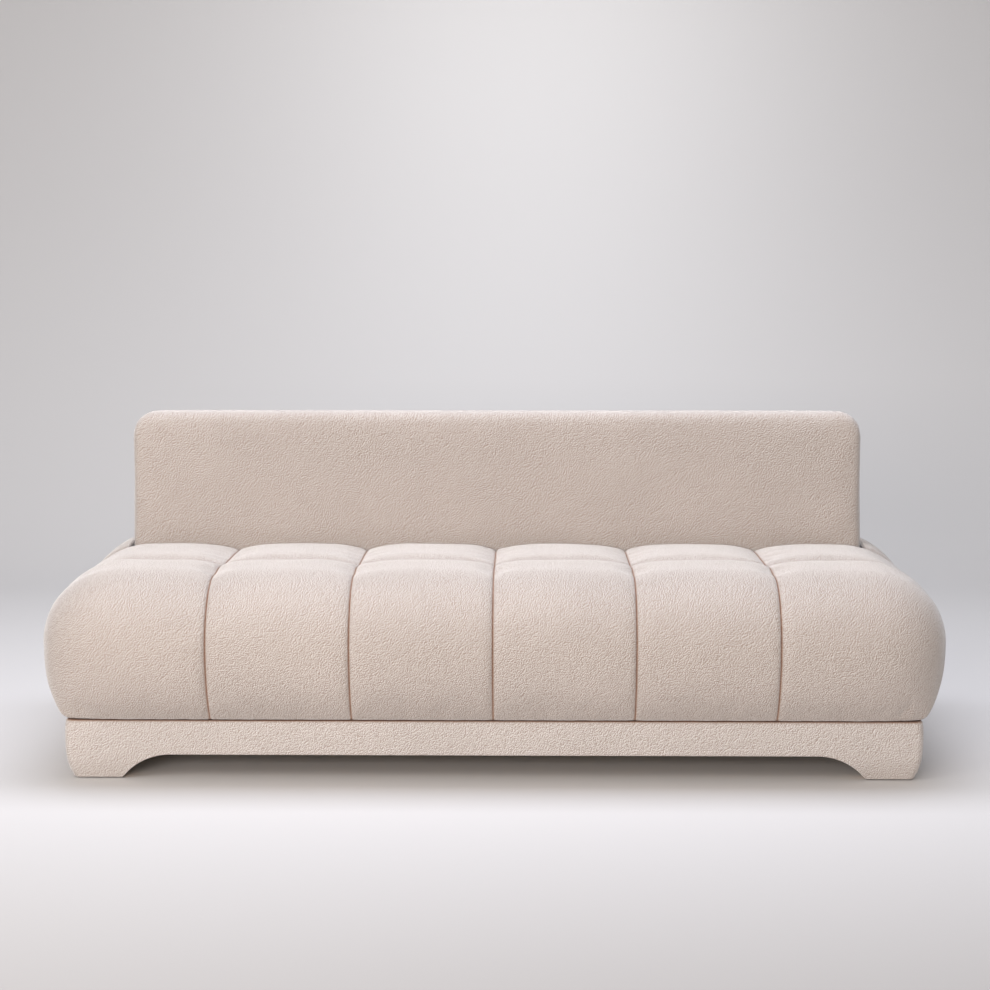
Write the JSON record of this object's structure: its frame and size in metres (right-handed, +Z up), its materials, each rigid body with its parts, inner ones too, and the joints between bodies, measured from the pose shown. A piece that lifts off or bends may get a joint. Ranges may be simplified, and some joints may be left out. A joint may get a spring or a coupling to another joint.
{
  "type": "sofa bed",
  "caption": "Armless sofa bed with a channelled seat on an arched plinth; the seat pulls forward and its slab backrest lies down into the gap, level with the seat.",
  "frame": {"origin": "on the floor, at the centre of the sofa's footprint at rest", "axes": "+X to the right along the sofa seen from the front, -Y towards the sitter's side, +Z up"},
  "size_m": [2.08, 1.0002, 0.807],
  "materials": {
    "boucle": "warm beige looped boucle upholstery over padding",
    "foam": "open-cell upholstery foam",
    "pine": "planed pine, uncoated",
    "birch_ply": "sanded birch plywood",
    "coated_steel": "black powder coat",
    "zinc_steel": "bright zinc plate",
    "nylon": "moulded nylon"
  },
  "bodies": {
    "rear_base": {"rear_base_cover": "boucle", "rear_apron": "pine", "rear_side_right": "pine", "rear_side_left": "pine", "rear_glides": "nylon", "rear_front_board": "pine", "rear_back_board": "pine", "rear_end_board_right": "pine", "rear_end_board_left": "pine", "rear_frame_screws": "zinc_steel", "rear_cross_members": "pine", "rear_deck": "birch_ply", "backrest_ledge": "birch_ply", "rear_foam": "foam", "rear_cover": "boucle", "fixed_rail_right": "coated_steel", "fixed_rail_left": "coated_steel", "rail_legs": "coated_steel", "rail_leg_feet": "nylon", "rail_tie": "coated_steel", "rail_packers": "pine", "rail_bolts": "zinc_steel"},
    "seat": {"front_base_cover": "boucle", "front_apron": "pine", "front_side_right": "pine", "front_side_left": "pine", "front_glides": "nylon", "seat_front_board": "pine", "seat_rear_board": "pine", "seat_end_board_right": "pine", "seat_end_board_left": "pine", "seat_frame_screws": "zinc_steel", "seat_cross_members": "pine", "runner_bearer_right": "pine", "runner_bearer_left": "pine", "slat_battens": "pine", "seat_slats": "birch_ply", "seat_corner_blocks": "pine", "seat_foam": "foam", "seat_cover": "boucle", "hinge_bracket_right": "coated_steel", "hinge_bracket_left": "coated_steel", "bracket_bolts": "zinc_steel", "runner_bolts": "zinc_steel", "runner_right": "coated_steel", "runner_left": "coated_steel", "glide_blocks_right": "nylon", "glide_blocks_left": "nylon"},
    "backrest": {"backrest_rails": "pine", "backrest_stiles": "pine", "backrest_muntins": "pine", "backrest_panel": "birch_ply", "backrest_foam": "foam", "backrest_rear_foam": "foam", "backrest_cover": "boucle", "hinge_plate_right": "coated_steel", "hinge_plate_left": "coated_steel", "hinge_screws": "zinc_steel", "hinge_pins": "zinc_steel"}
  },
  "joints": [
    {"name": "seat_slide", "type": "slide", "parent": "rear_base", "child": "seat", "axis": [0, -1, 0], "range_m": [0, 0.366]},
    {"name": "backrest_fold", "type": "hinge", "parent": "seat", "child": "backrest", "pos_m": [0, 0.18, 0.422], "axis": [-1, 0, 0], "range_deg": [0, 90]}
  ],
  "couplings": [
    {"joint": "backrest_fold", "follows": "seat_slide", "rad_per_m": 4.2918}
  ]
}
